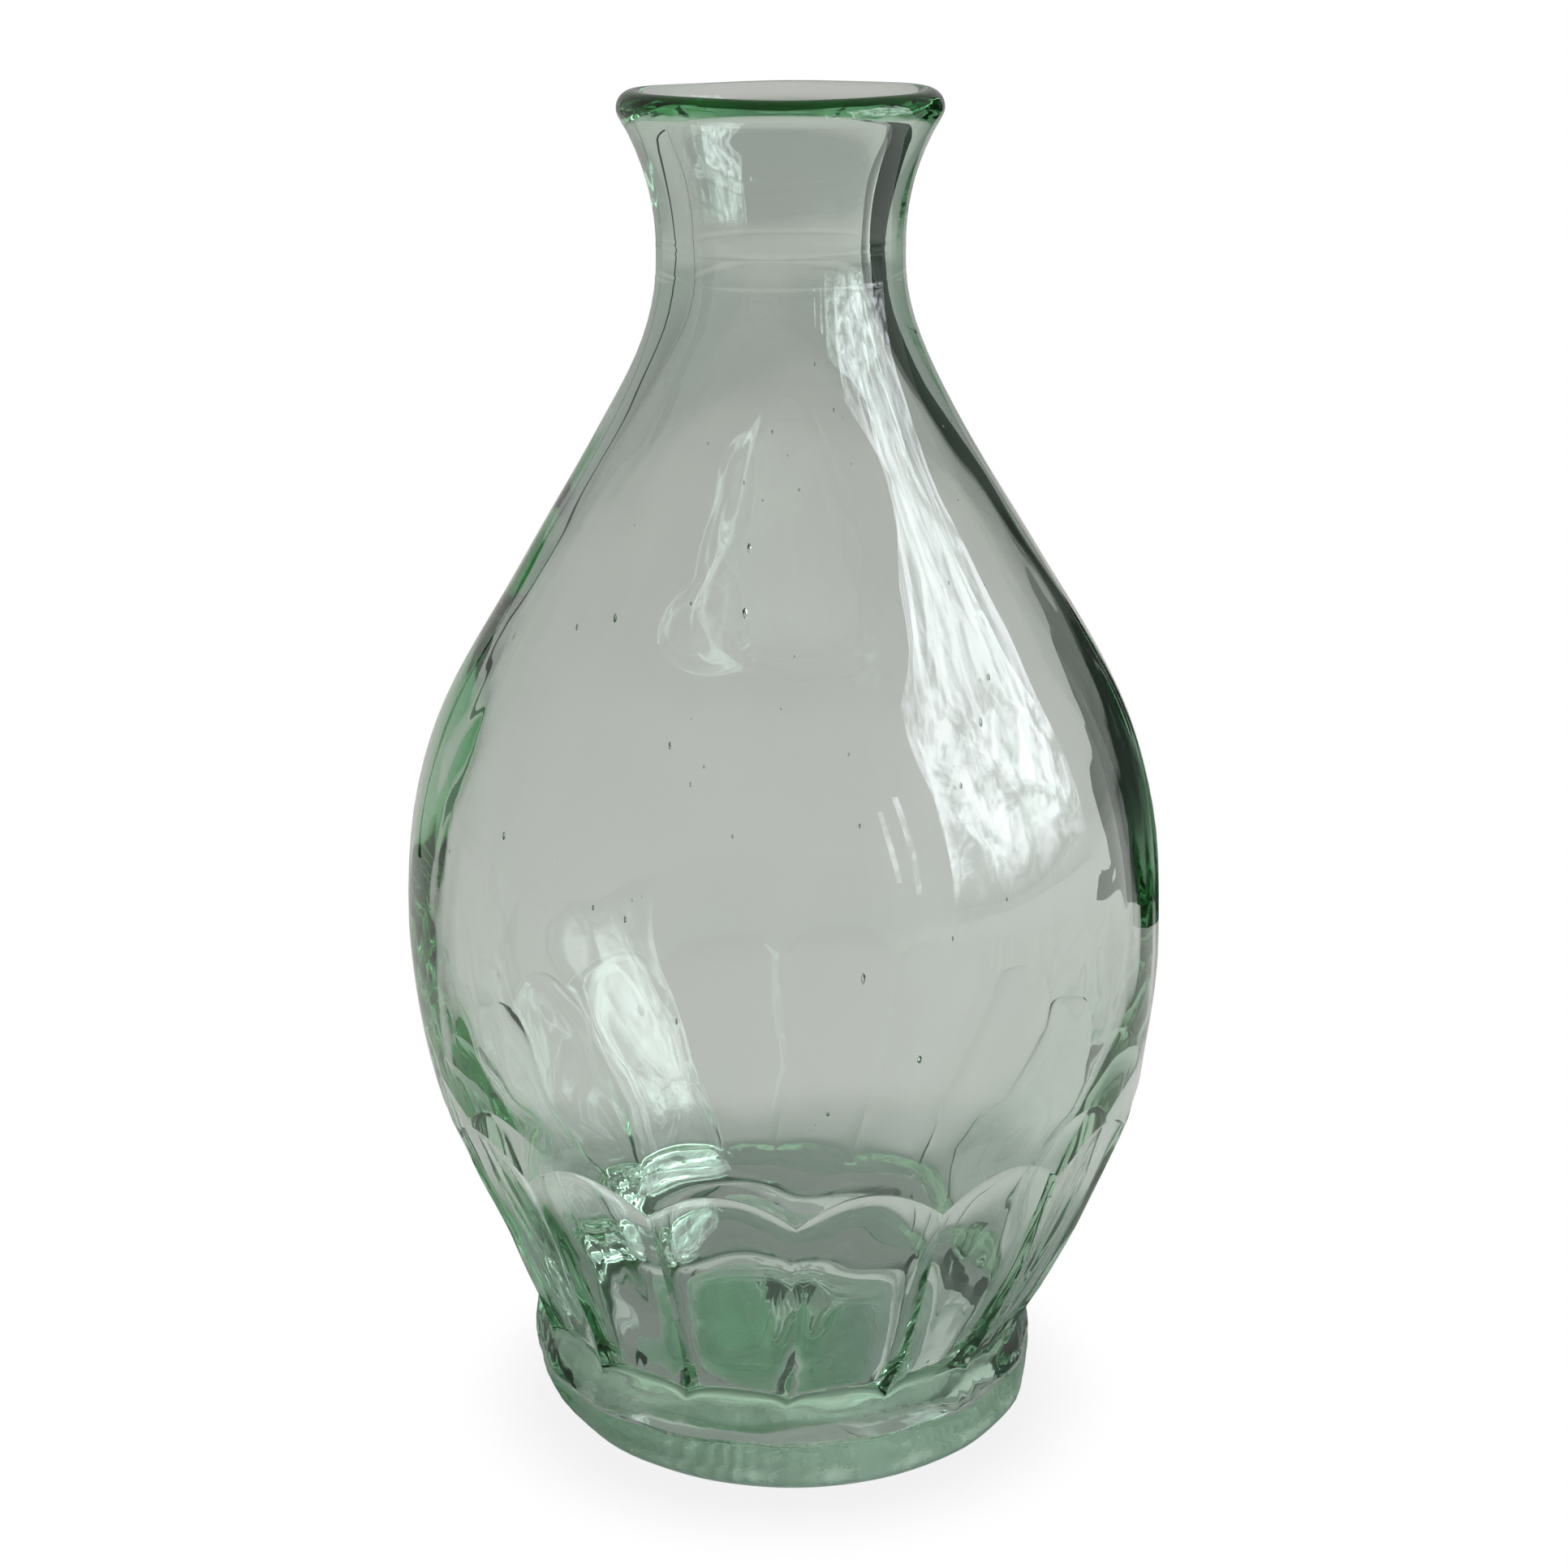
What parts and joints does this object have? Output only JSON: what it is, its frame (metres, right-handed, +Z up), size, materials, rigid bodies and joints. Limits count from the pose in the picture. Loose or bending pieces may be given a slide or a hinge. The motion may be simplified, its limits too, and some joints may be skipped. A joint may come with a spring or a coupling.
{
  "type": "vase",
  "caption": "Ovoid glass vase with a beaded flaring lip, a narrow neck, arched flat panels round the lower body and a rolled foot with a punt.",
  "frame": {"origin": "centre of the foot, on the surface the vase stands on", "axes": "+Z up along the vase's axis, one ridge between two panels faces -Y"},
  "size_m": [0.1122, 0.1122, 0.2],
  "materials": {
    "glass": "clear pale green-grey soda-lime glass, fire-polished"
  },
  "bodies": {
    "root": {"vase_body": "glass"}
  },
  "joints": []
}
